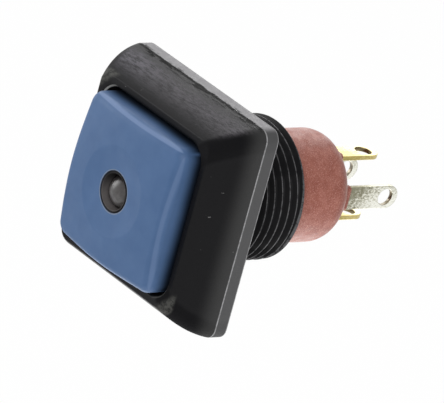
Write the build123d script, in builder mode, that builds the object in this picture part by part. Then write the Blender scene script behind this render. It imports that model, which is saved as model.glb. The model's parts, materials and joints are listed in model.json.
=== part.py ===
from build123d import *
import math
import os

# Illuminated pushbutton switch with a square bezel and a round threaded bushing.
# Millimetres. The origin is on the bushing's axis, in the plane where the panel meets the flange.
# +Z is up, -Y is the operator's side and +Y is behind the panel.
# A depth is a place along +Y, so what stands in front of the panel has a negative depth.

# Fits and clearances
running_gap = 0.07
seated_gap = 0.02
rest_gap = 0.05

# Bezel: flange, convex slope, front ring and pocket
flange_width = 18.3
flange_edge = 1.2
flange_corner = 1.0
ring_land = 0.65
ring_height = 5.3
ring_corner = 1.0
ring_edge_round = 0.15
slope_radius = 8.8
slope_sections = 6
pocket_floor = 0.9
pocket_corner = 1.3
pocket_edge_round = 0.2

# Threaded bushing, as a plain cylinder at the thread's outer diameter
thread_diameter = 11.9
bushing_length = 7.6
bushing_chamfer = 0.1
mouth_chamfer = 0.15

# Button cap
cap_width = 12.84
cap_bow = 0.1
cap_corner = 1.2
cap_gap = 0.33
cap_height = 7.85
cap_dome_radius = 36.0
cap_edge_round = 1.0
cap_skirt_height = 2.7
cap_wall = 1.15
cap_face_depth = 1.75
cap_inner_corner = 0.6
socket_wall = 0.9
socket_inset = 0.3
dish_diameter = 7.5
dish_radius = 28.0
dish_rim_round = 4.0
lamp_hole_round = 0.1

# Plunger
button_travel = 1.5
lamp_sleeve_wall = 0.16
lamp_sleeve_inset = 0.45
plunger_wall = 1.15
plunger_chamfer = 0.25
collar_step = 0.45
collar_thickness = 0.85
stem_step = 0.55
stem_rear = 7.6
spigot_wall = 0.15
snap_height = 0.15
snap_width = 0.6
snap_angle = 60
cap_snap_inset = 1.4

# Shaft seals and their retainer
guide_length = 2.6
seal_room = 1.05
seal_space = 1.3
retainer_thickness = 0.6
inner_seal_inset = 0.9
inner_seal_section = 0.52

# Base: the moulded contact housing
base_wall = 0.77
base_inner_gap = 0.2
base_rear = 14.2
base_rear_round = 1.95
base_floor = 1.2
resin_thickness = 1.0
base_snap_depth = 6.3
gasket_depth = 4.9
gasket_section = 0.46
gasket_groove_width = 0.56

# Terminals
terminal_width = 2.0
terminal_thickness = 0.4
terminal_inset = 1.97
terminal_bend = 0.25
terminal_hole_diameter = 1.44
terminal_hole_inset = 1.3
contact_terminal_tip = 19.15
lamp_terminal_tip = 20.2
collar_width = 2.5
collar_depth = 0.95
collar_rise = 0.9
collar_corner = 0.4

# Contacts
ring_thickness = 0.3
ring_outer_gap = 0.3
rivet_offset = 0.45
rivet_head_diameter = 0.9
rivet_head_thickness = 0.3
rivet_shank_diameter = 0.4
rivet_tail_diameter = 0.7
rivet_tail_thickness = 0.15
contact_pad_gap = 0.15
contact_pad_width = 1.7

# Lamp
lamp_diameter = 3.0
lamp_tip_inset = 0.43
lamp_length = 5.35
lamp_flange_step = 0.4
lamp_flange_thickness = 0.8
lamp_flat_inset = 0.25
lead_thickness = 0.45
lead_spacing = 1.8
lead_reach = 10.1
post_inset = 2.05
anvil_inset = 1.7
anvil_length = 1.1
anvil_reach = 0.42
anvil_depth = 0.8
cup_diameter = 0.62
cup_floor_diameter = 0.4
cup_depth = 0.3
chip_width = 0.25
chip_thickness = 0.14

# Lamp holder, its spring leaves and the return spring
holder_gap = 0.2
holder_rest_gap = 0.15
leaf_thickness = 0.25
leaf_width = 0.45
leaf_front = 5.0
leaf_gap = 0.03
holder_foot_thickness = 0.4
holder_heel = 0.2
spring_wire = 0.28
spring_turns = 4.5
spring_inner_gap = 0.2

# Places along the axis that several pieces share
ring_front = -ring_height
floor_front = -pocket_floor
cap_roof = cap_height - cap_face_depth
cap_snap_depth = cap_snap_inset - cap_roof
socket_height = cap_skirt_height + socket_inset
lamp_tip_height = cap_height - lamp_tip_inset
post_height = lamp_tip_height - post_inset
anvil_height = lamp_tip_height - anvil_inset
guide_rear = floor_front + guide_length
seal_rear = guide_rear + seal_space
retainer_rear = seal_rear + retainer_thickness
cap_roof_depth = -cap_roof
collar_front = retainer_rear + rest_gap
collar_rear = collar_front + collar_thickness
base_floor_front = base_rear - base_floor
resin_front = base_floor_front - resin_thickness
foot_front = resin_front - holder_foot_thickness
holder_rear = resin_front + holder_heel
lamp_rear = lamp_length - lamp_tip_height
lamp_flange_front = lamp_rear - lamp_flange_thickness
sleeve_front = lamp_sleeve_inset - cap_height
inner_seal_depth = cap_roof_depth + inner_seal_inset
holder_front = lamp_rear + button_travel + holder_rest_gap
lead_rear = lamp_rear + lead_reach
leaf_foot_front = holder_rear + holder_heel
leaf_foot_rear = leaf_foot_front + leaf_thickness
collar_tip = base_rear + collar_rise

# The contact ring closes the gap to the rivets at the end of the travel.
contact_gap = button_travel + rest_gap
ring_rear = stem_rear + ring_thickness
rivet_front = ring_rear + contact_gap
pad_front = rivet_front + rivet_head_thickness
pad_rear = pad_front + terminal_thickness

# Radii, from the lamp outwards: holder, plunger, base and the bushing round them
lamp_radius = lamp_diameter / 2
lamp_bore_radius = lamp_radius + seated_gap
lamp_sleeve_radius = lamp_bore_radius + lamp_sleeve_wall
lamp_hole_radius = lamp_sleeve_radius + seated_gap
lamp_flange_radius = lamp_radius + lamp_flange_step
holder_radius = lamp_flange_radius
plunger_bore_radius = holder_radius + holder_gap
plunger_radius = plunger_bore_radius + plunger_wall
collar_radius = plunger_radius + collar_step
stem_radius = plunger_radius - stem_step
spigot_radius = plunger_bore_radius + spigot_wall
guide_radius = plunger_radius + running_gap
seal_bore_radius = plunger_radius + seal_room
base_bore_radius = collar_radius + base_inner_gap
base_radius = base_bore_radius + base_wall
bushing_bore_radius = base_radius + rest_gap
thread_radius = thread_diameter / 2

# Places across the axis
cap_half = cap_width / 2
pocket_width = cap_width + 2 * cap_gap
ring_half = pocket_width / 2 + ring_land
flange_half = flange_width / 2
terminal_radius = base_radius - terminal_inset
terminal_inner = terminal_radius - terminal_thickness / 2
terminal_outer = terminal_radius + terminal_thickness / 2
contact_pad_reach = base_bore_radius - contact_pad_gap
contact_ring_radius = base_bore_radius - ring_outer_gap
rivet_place = terminal_radius + rivet_offset
foot_radius = terminal_inner - rest_gap
lead_place = lead_spacing / 2
lead_outer = lead_place + lead_thickness / 2
leaf_inner = lead_outer + leaf_gap
leaf_outer = leaf_inner + leaf_thickness

os.makedirs("parts", exist_ok=True)


# Centre (half-width, depth) of the arc that joins the flange's edge to the ring.
def slopeArc():
    run = flange_half - ring_half
    rise = ring_height - flange_edge
    chord = math.hypot(run, rise)
    to_centre = math.sqrt(slope_radius**2 - (chord / 2) ** 2)
    middle_half = (flange_half + ring_half) / 2
    middle_depth = -(flange_edge + ring_height) / 2
    return middle_half - to_centre * rise / chord, middle_depth + to_centre * run / chord


# Half-width of the bezel's square section at a depth on the slope.
def slopeHalf(depth):
    centre_half, centre_depth = slopeArc()
    return centre_half + math.sqrt(slope_radius**2 - (depth - centre_depth) ** 2)


# Bezel and bushing, one moulding: the slope is lofted through rounded squares on a circular arc.
with BuildPart() as bezel:
    for section in range(slope_sections):
        share = section / (slope_sections - 1)
        section_depth = -flange_edge - share * (ring_height - flange_edge)
        section_corner = flange_corner + share * (ring_corner - flange_corner)
        section_width = 2 * slopeHalf(section_depth)
        with BuildSketch(Plane.ZX.offset(section_depth)):
            RectangleRounded(section_width, section_width, section_corner)
    loft()
    with BuildSketch(Plane.ZX.offset(-flange_edge)):
        RectangleRounded(flange_width, flange_width, flange_corner)
    extrude(amount=flange_edge)
    with BuildSketch(Plane.ZX):
        Circle(thread_radius)
    extrude(amount=bushing_length)
    chamfer(bezel.edges().group_by(Axis.Y)[-1], bushing_chamfer)
    with BuildSketch(Plane.ZX.offset(ring_front)):
        RectangleRounded(pocket_width, pocket_width, pocket_corner)
    extrude(amount=ring_height - pocket_floor, mode=Mode.SUBTRACT)
    ring_face = bezel.faces().sort_by(Axis.Y)[0]
    fillet(ring_face.outer_wire().edges(), ring_edge_round)
    ring_face = bezel.faces().sort_by(Axis.Y)[0]
    fillet(ring_face.inner_wires()[0].edges(), pocket_edge_round)
    with BuildSketch(Plane.XY):
        with BuildLine():
            Polyline(
                (0, floor_front),
                (guide_radius, floor_front),
                (guide_radius, guide_rear),
                (seal_bore_radius, guide_rear),
                (seal_bore_radius, seal_rear),
                (bushing_bore_radius, seal_rear),
                (bushing_bore_radius, bushing_length - mouth_chamfer),
                (bushing_bore_radius + mouth_chamfer, bushing_length),
                (0, bushing_length),
                close=True,
            )
        make_face()
    revolve(axis=Axis.Y, mode=Mode.SUBTRACT)
    with BuildSketch(Plane.XY):
        with Locations((bushing_bore_radius, base_snap_depth)):
            Rectangle(2 * (snap_height + seated_gap), snap_width + 2 * rest_gap)
    revolve(axis=Axis.Y, mode=Mode.SUBTRACT)
bezel.part.label = "bezel"
export_step(bezel.part, "parts/bezel.step")


# Button cap: a bowed square shell with a domed face, a finger dish and a round socket behind.
with BuildPart() as button_cap:
    with BuildSketch(Plane.ZX.offset(-cap_height)) as cap_outline:
        with BuildLine():
            corner_half = cap_half - cap_bow
            ThreePointArc((corner_half, -corner_half), (cap_half, 0), (corner_half, corner_half))
            ThreePointArc((corner_half, corner_half), (0, cap_half), (-corner_half, corner_half))
            ThreePointArc((-corner_half, corner_half), (-cap_half, 0), (-corner_half, -corner_half))
            ThreePointArc((-corner_half, -corner_half), (0, -cap_half), (corner_half, -corner_half))
        make_face()
        fillet(cap_outline.vertices(), cap_corner)
    extrude(amount=cap_height - cap_skirt_height)
    with Locations((0, cap_dome_radius - cap_height, 0)):
        Sphere(cap_dome_radius, mode=Mode.INTERSECT)
    cap_face = button_cap.faces().sort_by(Axis.Y)[0]
    fillet(cap_face.edges(), cap_edge_round)
    dome_drop = cap_dome_radius - math.sqrt(cap_dome_radius**2 - (dish_diameter / 2) ** 2)
    dish_rim_depth = dome_drop - cap_height
    dish_centre = dish_rim_depth - math.sqrt(dish_radius**2 - (dish_diameter / 2) ** 2)
    with Locations((0, dish_centre, 0)):
        Sphere(dish_radius, mode=Mode.SUBTRACT)
    dish_face = button_cap.faces().filter_by(GeomType.SPHERE).sort_by(SortBy.AREA)[0]
    fillet(dish_face.edges(), dish_rim_round)
    with BuildSketch(Plane.ZX.offset(-cap_height)):
        Circle(lamp_hole_radius)
    extrude(amount=cap_height - cap_roof, mode=Mode.SUBTRACT)
    hole_edge = button_cap.edges().sort_by_distance((0, -cap_height, 0))[0]
    fillet(hole_edge, lamp_hole_round)
    with BuildSketch(Plane.ZX.offset(-cap_skirt_height)):
        RectangleRounded(cap_width - 2 * cap_wall, cap_width - 2 * cap_wall, cap_inner_corner)
    extrude(amount=-(cap_roof - cap_skirt_height), mode=Mode.SUBTRACT)
    with BuildSketch(Plane.ZX.offset(cap_roof_depth)):
        Circle(plunger_radius + seated_gap + socket_wall)
    extrude(amount=cap_roof - socket_height)
    with BuildSketch(Plane.ZX.offset(cap_roof_depth)):
        Circle(plunger_radius + seated_gap)
    extrude(amount=cap_roof - socket_height, mode=Mode.SUBTRACT)
    with BuildSketch(Plane.XY):
        with Locations((plunger_radius + seated_gap, cap_snap_depth)):
            Rectangle(2 * (snap_height + seated_gap), snap_width + 2 * seated_gap)
    revolve(axis=Axis.Y, mode=Mode.SUBTRACT)
button_cap.part.label = "button_cap"
export_step(button_cap.part, "parts/button_cap.step")


# Plunger: the hollow stem that the cap snaps on to. A thin sleeve round the lamp fills the cap's hole.
# Inside are the lamp's bore with its seal groove, the step for the lamp's flange and the holder's bore.
with BuildPart() as plunger:
    with BuildSketch(Plane.XY):
        with BuildLine():
            Polyline(
                (lamp_bore_radius, sleeve_front),
                (lamp_sleeve_radius, sleeve_front),
                (lamp_sleeve_radius, cap_roof_depth),
                (plunger_radius - plunger_chamfer, cap_roof_depth),
                (plunger_radius, cap_roof_depth + plunger_chamfer),
                (plunger_radius, collar_front),
                (collar_radius, collar_front),
                (collar_radius, collar_rear),
                (stem_radius, collar_rear),
                (stem_radius, stem_rear),
                (spigot_radius, stem_rear),
                (spigot_radius, ring_rear),
                (plunger_bore_radius, ring_rear),
                (plunger_bore_radius, lamp_flange_front - seated_gap),
                (lamp_bore_radius, lamp_flange_front - seated_gap),
                close=True,
            )
        make_face()
        with Locations((plunger_radius, cap_snap_depth)):
            Trapezoid(snap_width, snap_height, snap_angle, rotation=-90, align=(Align.CENTER, Align.MIN))
        with Locations((lamp_bore_radius, inner_seal_depth)):
            inner_groove = inner_seal_section + seated_gap
            Rectangle(2 * inner_groove, inner_seal_section + 2 * rest_gap, mode=Mode.SUBTRACT)
    revolve(axis=Axis.Y)
plunger.part.label = "plunger"
export_step(plunger.part, "parts/plunger.step")


# Shaft seal: a round rubber ring in the bushing, round the plunger.
with BuildPart() as plunger_seal:
    seal_section_radius = (seal_bore_radius - plunger_radius - running_gap - seated_gap) / 2
    with BuildSketch(Plane.XY):
        with Locations((seal_bore_radius - seated_gap - seal_section_radius, (guide_rear + seal_rear) / 2)):
            Circle(seal_section_radius)
    revolve(axis=Axis.Y)
plunger_seal.part.label = "plunger_seal"
export_step(plunger_seal.part, "parts/plunger_seal.step")


# Seal retainer: the washer that keeps the shaft seal in, and stops the plunger's collar.
with BuildPart() as seal_retainer:
    with BuildSketch(Plane.ZX.offset(seal_rear)):
        Circle(bushing_bore_radius - seated_gap)
        Circle(guide_radius, mode=Mode.SUBTRACT)
    extrude(amount=retainer_thickness)
seal_retainer.part.label = "seal_retainer"
export_step(seal_retainer.part, "parts/seal_retainer.step")


# Inner seal: a thin rubber ring in the plunger, round the lamp.
with BuildPart() as inner_seal:
    inner_seal_radius = inner_seal_section / 2
    inner_seal_place = lamp_bore_radius + inner_seal_section - inner_seal_radius
    with BuildSketch(Plane.XY):
        with Locations((inner_seal_place, inner_seal_depth)):
            Circle(inner_seal_radius)
    revolve(axis=Axis.Y)
inner_seal.part.label = "inner_seal"
export_step(inner_seal.part, "parts/inner_seal.step")


# Contact ring: the plated washer on the plunger's spigot that bridges the two fixed contacts.
with BuildPart() as contact_ring:
    with BuildSketch(Plane.ZX.offset(stem_rear)):
        Circle(contact_ring_radius)
        Circle(spigot_radius + seated_gap, mode=Mode.SUBTRACT)
    extrude(amount=ring_thickness)
contact_ring.part.label = "contact_ring"
export_step(contact_ring.part, "parts/contact_ring.step")


# Base: the moulded cup that holds the contacts, with a round rear edge and a collar at each terminal.
with BuildPart() as base:
    with BuildSketch(Plane.XY) as base_section:
        with BuildLine():
            Polyline(
                (base_bore_radius, retainer_rear),
                (base_radius, retainer_rear),
                (base_radius, base_rear),
                (0, base_rear),
                (0, base_floor_front),
                (base_bore_radius, base_floor_front),
                close=True,
            )
        make_face()
        outer_corner = base_section.vertices().group_by(Axis.Y)[-1].sort_by(Axis.X)[-1]
        fillet(outer_corner, base_rear_round)
        with Locations((base_radius, base_snap_depth)):
            Trapezoid(snap_width, snap_height, snap_angle, rotation=-90, align=(Align.CENTER, Align.MIN))
        with Locations((base_radius, gasket_depth)):
            Rectangle(2 * gasket_section, gasket_groove_width, mode=Mode.SUBTRACT)
    revolve(axis=Axis.Y)
    with BuildSketch(Plane.ZX.offset(base_floor_front)):
        with PolarLocations(terminal_radius, 4):
            RectangleRounded(collar_depth, collar_width, collar_corner)
    extrude(amount=collar_tip - base_floor_front)
    with BuildSketch(Plane.ZX.offset(base_floor_front)):
        with PolarLocations(terminal_radius, 4):
            Rectangle(terminal_thickness + seated_gap, terminal_width + seated_gap)
    extrude(amount=collar_tip - base_floor_front, mode=Mode.SUBTRACT)
base.part.label = "base"
export_step(base.part, "parts/base.step")


# Base gasket: the rubber ring between the base and the bushing's bore.
with BuildPart() as base_gasket:
    gasket_radius = (bushing_bore_radius - base_radius + gasket_section - 2 * seated_gap) / 2
    with BuildSketch(Plane.XY):
        with Locations((bushing_bore_radius - seated_gap - gasket_radius, gasket_depth)):
            Circle(gasket_radius)
    revolve(axis=Axis.Y)
base_gasket.part.label = "base_gasket"
export_step(base_gasket.part, "parts/base_gasket.step")


# Contact terminals, above and below the axis: a solder eyelet outside and a bent pad inside.
for side, name in ((1, "contact_terminal_top"), (-1, "contact_terminal_bottom")):
    with BuildPart() as contact_terminal:
        with BuildSketch(Plane.YZ) as strip:
            with BuildLine():
                Polyline(
                    (pad_front, side * terminal_inner),
                    (contact_terminal_tip, side * terminal_inner),
                    (contact_terminal_tip, side * terminal_outer),
                    (pad_rear, side * terminal_outer),
                    (pad_rear, side * contact_pad_reach),
                    (pad_front, side * contact_pad_reach),
                    close=True,
                )
            make_face()
            bend_corner = strip.vertices().sort_by_distance((pad_front, side * terminal_inner))[0]
            fillet(bend_corner, terminal_bend)
        extrude(amount=terminal_width / 2, both=True)
        with BuildSketch(Plane.XY.offset(side * contact_pad_reach)):
            for edge_side in (-1, 1):
                with Locations((edge_side * terminal_width / 2, (pad_front + pad_rear) / 2)):
                    Rectangle(terminal_width - contact_pad_width, terminal_thickness)
        extrude(amount=-side * (contact_pad_reach - terminal_outer), mode=Mode.SUBTRACT)
        tip_edges = contact_terminal.edges().filter_by(Axis.Z).group_by(Axis.Y)[-1]
        fillet(tip_edges, terminal_width / 2 - seated_gap)
        with BuildSketch(Plane.XY.offset(side * terminal_inner)):
            with Locations((0, contact_terminal_tip - terminal_hole_inset)):
                Circle(terminal_hole_diameter / 2)
        extrude(amount=side * terminal_thickness, mode=Mode.SUBTRACT)
        with BuildSketch(Plane.ZX.offset(pad_front)):
            with Locations((side * rivet_place, 0)):
                Circle(rivet_shank_diameter / 2 + seated_gap)
        extrude(amount=terminal_thickness, mode=Mode.SUBTRACT)
    contact_terminal.part.label = name
    export_step(contact_terminal.part, "parts/" + name + ".step")


# Fixed contacts: a rivet on each pad, which the contact ring meets.
for side, name in ((1, "fixed_contact_top"), (-1, "fixed_contact_bottom")):
    with BuildPart() as fixed_contact:
        rivet_axis = (side * rivet_place, 0)
        with BuildSketch(Plane.ZX.offset(rivet_front)):
            with Locations(rivet_axis):
                Circle(rivet_head_diameter / 2)
        extrude(amount=rivet_head_thickness)
        with BuildSketch(Plane.ZX.offset(pad_front)):
            with Locations(rivet_axis):
                Circle(rivet_shank_diameter / 2)
        extrude(amount=terminal_thickness)
        with BuildSketch(Plane.ZX.offset(pad_rear)):
            with Locations(rivet_axis):
                Circle(rivet_tail_diameter / 2)
        extrude(amount=rivet_tail_thickness)
    fixed_contact.part.label = name
    export_step(fixed_contact.part, "parts/" + name + ".step")


# Lamp terminals, right and left of the axis: longer blades with a solder eyelet.
# Inside, each turns in to the holder and runs forward as a narrow leaf that the moving lead slides on.
for side, name in ((1, "lamp_terminal_right"), (-1, "lamp_terminal_left")):
    with BuildPart() as lamp_terminal:
        with BuildSketch(Plane.YZ.offset(side * terminal_inner)) as blade:
            with Locations(((leaf_foot_front + lamp_terminal_tip) / 2, 0)):
                Rectangle(lamp_terminal_tip - leaf_foot_front, terminal_width)
            fillet(blade.vertices().group_by(Axis.X)[-1], terminal_width / 2 - seated_gap)
            with Locations((lamp_terminal_tip - terminal_hole_inset, 0)):
                Circle(terminal_hole_diameter / 2, mode=Mode.SUBTRACT)
        extrude(amount=side * terminal_thickness)
        with BuildSketch(Plane.XY) as leaf:
            with BuildLine():
                Polyline(
                    (side * leaf_inner, leaf_front),
                    (side * leaf_outer, leaf_front),
                    (side * leaf_outer, leaf_foot_front),
                    (side * terminal_radius, leaf_foot_front),
                    (side * terminal_radius, leaf_foot_rear),
                    (side * leaf_inner, leaf_foot_rear),
                    close=True,
                )
            make_face()
            bend_corner = leaf.vertices().sort_by_distance((side * leaf_inner, leaf_foot_rear))[0]
            fillet(bend_corner, terminal_bend)
        extrude(amount=leaf_width / 2, both=True)
    lamp_terminal.part.label = name
    export_step(lamp_terminal.part, "parts/" + name + ".step")


# Lamp leads: square wires from the lens down into the holder, which move with the lamp.
# The left lead widens into the anvil with the reflector cup.
lead_half = lead_thickness / 2
lead_parts = {}
for side, name, lead_top in ((1, "lamp_lead_right", -post_height), (-1, "lamp_lead_left", -anvil_height)):
    with BuildPart() as lamp_lead:
        with BuildSketch(Plane.ZX.offset(lead_top)):
            with Locations((0, side * lead_place)):
                Rectangle(lead_thickness, lead_thickness)
        extrude(amount=lead_rear - lead_top)
        if side < 0:
            with BuildSketch(Plane.XY) as anvil:
                anvil_left = -(lead_place + lead_half)
                with Locations(((anvil_left + anvil_reach) / 2, lead_top + anvil_length / 2)):
                    Rectangle(anvil_reach - anvil_left, anvil_length)
                fillet(anvil.vertices().group_by(Axis.Y)[-1].sort_by(Axis.X)[-1], anvil_reach)
            extrude(amount=anvil_depth / 2, both=True)
            with BuildSketch(Plane.ZX.offset(lead_top)):
                Circle(cup_diameter / 2)
            with BuildSketch(Plane.ZX.offset(lead_top + cup_depth)):
                Circle(cup_floor_diameter / 2)
            loft(mode=Mode.SUBTRACT)
    lamp_lead.part.label = name
    export_step(lamp_lead.part, "parts/" + name + ".step")
    lead_parts[side] = lamp_lead.part


# Lamp chip: the small die on the floor of the reflector cup.
with BuildPart() as lamp_chip:
    with BuildSketch(Plane.ZX.offset(cup_depth - anvil_height)):
        Rectangle(chip_width, chip_width)
    extrude(amount=-chip_thickness)
lamp_chip.part.label = "lamp_chip"
export_step(lamp_chip.part, "parts/lamp_chip.step")


# Lamp lens: the cast resin body with its dome and flange, round the leads and the chip.
with BuildPart() as lamp_lens:
    dome_base = lamp_radius - lamp_tip_height
    with BuildSketch(Plane.XY):
        with BuildLine():
            dome_middle = lamp_radius * math.sqrt(0.5)
            dome_point = (dome_middle, dome_base - dome_middle)
            ThreePointArc((0, -lamp_tip_height), dome_point, (lamp_radius, dome_base))
            Polyline(
                (lamp_radius, dome_base),
                (lamp_radius, lamp_flange_front),
                (lamp_flange_radius, lamp_flange_front),
                (lamp_flange_radius, lamp_rear),
                (0, lamp_rear),
                (0, -lamp_tip_height),
            )
        make_face()
    revolve(axis=Axis.Y)
    with BuildSketch(Plane.ZX.offset(lamp_flange_front)):
        with Locations((0, -lamp_flange_radius)):
            Rectangle(2 * lamp_flange_radius, 2 * lamp_flat_inset)
    extrude(amount=lamp_flange_thickness, mode=Mode.SUBTRACT)
    add(lead_parts[1], mode=Mode.SUBTRACT)
    add(lead_parts[-1], mode=Mode.SUBTRACT)
    add(lamp_chip.part, mode=Mode.SUBTRACT)
lamp_lens.part.label = "lamp_lens"
export_step(lamp_lens.part, "parts/lamp_lens.step")


# Lamp holder: the fixed post inside the plunger, with two channels for leads and leaves, and a spring foot.
with BuildPart() as lamp_holder:
    with BuildSketch(Plane.ZX.offset(holder_front)):
        Circle(holder_radius)
    extrude(amount=holder_rear - holder_front)
    with BuildSketch(Plane.ZX.offset(foot_front)):
        Circle(foot_radius)
    extrude(amount=holder_foot_thickness)
    channel_width = lead_thickness + 2 * running_gap
    channel_inner = lead_place - channel_width / 2
    channel_outer = leaf_outer + running_gap
    with BuildSketch(Plane.ZX.offset(holder_front)):
        for side in (1, -1):
            with Locations((0, side * (channel_inner + channel_outer) / 2)):
                Rectangle(channel_width, channel_outer - channel_inner)
    extrude(amount=holder_rear - holder_front, mode=Mode.SUBTRACT)
lamp_holder.part.label = "lamp_holder"
export_step(lamp_holder.part, "parts/lamp_holder.step")


# Terminal resin: the sealing layer on the base's floor, round the holder, leads and blades.
with BuildPart() as terminal_resin:
    with BuildSketch(Plane.ZX.offset(resin_front)):
        Circle(base_bore_radius - seated_gap)
        with PolarLocations(terminal_radius, 4):
            Rectangle(terminal_thickness + seated_gap, terminal_width + seated_gap, mode=Mode.SUBTRACT)
    extrude(amount=resin_thickness)
    with BuildSketch(Plane.ZX.offset(resin_front)):
        Circle(holder_radius + seated_gap)
    extrude(amount=holder_heel, mode=Mode.SUBTRACT)
    with BuildSketch(Plane.ZX.offset(resin_front)):
        Rectangle(leaf_width + seated_gap, 2 * terminal_inner)
    extrude(amount=leaf_foot_rear + seated_gap - resin_front, mode=Mode.SUBTRACT)
terminal_resin.part.label = "terminal_resin"
export_step(terminal_resin.part, "parts/terminal_resin.step")


# Return spring: a round wire coil between the contact ring and the holder's foot.
with BuildPart() as return_spring:
    wire_radius = spring_wire / 2
    coil_radius = holder_radius + spring_inner_gap + wire_radius
    coil_front = ring_rear + wire_radius + seated_gap
    coil_length = foot_front - wire_radius - seated_gap - coil_front
    with BuildLine() as coil:
        Helix(coil_length / spring_turns, coil_length, coil_radius, (0, coil_front, 0), (0, 1, 0))
    with BuildSketch(Plane(origin=coil.line @ 0, z_dir=coil.line % 0)):
        Circle(wire_radius)
    sweep(path=coil.line, is_frenet=True)
return_spring.part.label = "return_spring"
export_step(return_spring.part, "parts/return_spring.step")
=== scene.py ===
import json
import bpy
import numpy as np
from mathutils import Matrix


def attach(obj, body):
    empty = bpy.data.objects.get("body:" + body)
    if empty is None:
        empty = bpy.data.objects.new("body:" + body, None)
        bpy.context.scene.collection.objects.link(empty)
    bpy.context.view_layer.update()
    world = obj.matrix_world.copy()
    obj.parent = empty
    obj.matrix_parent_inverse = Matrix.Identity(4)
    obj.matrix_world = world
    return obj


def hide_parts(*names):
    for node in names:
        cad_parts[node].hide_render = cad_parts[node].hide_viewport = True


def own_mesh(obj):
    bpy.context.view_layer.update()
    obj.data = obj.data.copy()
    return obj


# Illuminated pushbutton switch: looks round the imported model.
# Sizes are in millimetres and are turned into metres where a mesh or a pattern is made.
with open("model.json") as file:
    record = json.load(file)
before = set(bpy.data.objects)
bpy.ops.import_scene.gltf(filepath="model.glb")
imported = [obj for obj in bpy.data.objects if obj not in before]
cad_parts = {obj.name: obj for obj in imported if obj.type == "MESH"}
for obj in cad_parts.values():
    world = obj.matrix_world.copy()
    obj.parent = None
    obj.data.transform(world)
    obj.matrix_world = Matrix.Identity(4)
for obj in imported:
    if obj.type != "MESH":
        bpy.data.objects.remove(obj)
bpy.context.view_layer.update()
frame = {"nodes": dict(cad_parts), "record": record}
nodes = frame["nodes"]
mm = 0.001
tiny = 1e-9  # keeps a division from nought
scene = bpy.context.scene
print("frame loaded:", len(nodes), "nodes")

# The camera stands where the photograph's edges and thread put it. Its place is in metres.
cameraFit = {
    "place": (0.390259, -0.355442, 0.195156),
    "right": (0.58542217, 0.7714249, 0.24936822),
    "up": (-0.42623249, 0.03121285, 0.90407501),
    "back": (0.68964248, -0.63555439, 0.34707905),
    "lens": 567.6,
    "sensor": 36.0,
    "near": 0.01,
}
cameraData = bpy.data.cameras.new("camera")
cameraData.lens = cameraFit["lens"]
cameraData.sensor_width = cameraFit["sensor"]
cameraData.sensor_fit = "HORIZONTAL"
cameraData.clip_start = cameraFit["near"]
camera = bpy.data.objects.new("camera", cameraData)
turn = Matrix((cameraFit["right"], cameraFit["up"], cameraFit["back"])).transposed().to_4x4()
camera.matrix_world = Matrix.Translation(cameraFit["place"]) @ turn
scene.collection.objects.link(camera)
scene.camera = camera
print("camera set")


# Faces over a grid of points: each joins a point with its neighbours along the row and in the next row.
# Every row closes on itself. The last row joins the first, or each end closes on a point in its middle.
def gridFaces(grid, ends):
    rows, columns = grid.shape[:2]
    points = grid.reshape(-1, 3)
    index = np.arange(rows * columns).reshape(rows, columns)
    here = index if ends == "loop" else index[:-1]
    there = np.roll(index, -1, 0) if ends == "loop" else index[1:]
    quads = np.stack([here, np.roll(here, -1, 1), np.roll(there, -1, 1), there], -1).reshape(-1, 4)
    faces = quads.tolist()
    if ends == "middles":
        first, last = rows * columns, rows * columns + 1
        points = np.vstack([points, grid[0].mean(0), grid[-1].mean(0)])
        start = np.stack([np.full(columns, first), np.roll(index[0], -1), index[0]], -1)
        finish = np.stack([np.full(columns, last), index[-1], np.roll(index[-1], -1)], -1)
        faces += start.tolist() + finish.tolist()
    return points, faces, signedVolume(grid, here, there, ends) < 0


# Six times the volume inside the skin: the sum of the triple products of its triangles' corners.
def signedVolume(grid, here, there, ends):
    points = grid.reshape(-1, 3)
    a, b = points[here], points[np.roll(here, -1, 1)]
    c, d = points[np.roll(there, -1, 1)], points[there]
    total = (a * np.cross(b, c)).sum() + (a * np.cross(c, d)).sum()
    if ends == "middles":
        total += (grid[0].mean(0) * np.cross(np.roll(grid[0], -1, 0), grid[0])).sum()
        total += (grid[-1].mean(0) * np.cross(grid[-1], np.roll(grid[-1], -1, 0))).sum()
    return total


# One object from one or more closed skins, smooth-shaded, with its faces outwards. It wears the slot's finish
# and stands in for the nodes that it replaces.
def makePiece(name, skins, body, slot, replaced):
    allPoints, allFaces = [], []
    for grid, ends in skins:
        points, faces, inside = gridFaces(grid, ends)
        offset = sum(len(part) for part in allPoints)
        allFaces += [[offset + i for i in (face[::-1] if inside else face)] for face in faces]
        allPoints.append(points)
    mesh = bpy.data.meshes.new(name)
    mesh.from_pydata((np.vstack(allPoints) * mm).tolist(), [], allFaces)
    mesh.polygons.foreach_set("use_smooth", np.ones(len(mesh.polygons), bool))
    mesh.update()
    piece = bpy.data.objects.new(name, mesh)
    scene.collection.objects.link(piece)
    piece.data.materials.append(finishes[slot])
    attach(piece, body)
    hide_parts(*replaced)
    print("piece", name, len(mesh.polygons), "faces")
    return piece


# Columns round the axis: steps along each side and round each corner of the square pieces, the half-angle in
# degrees that a corner takes, and the steps of the round pieces.
columnSteps = {"side": 36, "corner": 22, "cornerSpan": 8, "round": 144}


# Angles round the axis, from +Z towards +X, closer together where square sections have their corners.
def columnAngles(steps):
    span = steps["cornerSpan"]
    side = np.linspace(span - 45, 45 - span, steps["side"], endpoint=False)
    corner = np.linspace(45 - span, 45 + span, steps["corner"], endpoint=False)
    quarter = np.concatenate([side, corner])
    return np.radians(np.concatenate([quarter + 90 * k for k in range(4)]))


squareAngle = columnAngles(columnSteps)
roundAngle = np.linspace(0, 2 * np.pi, columnSteps["round"], endpoint=False)


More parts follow.
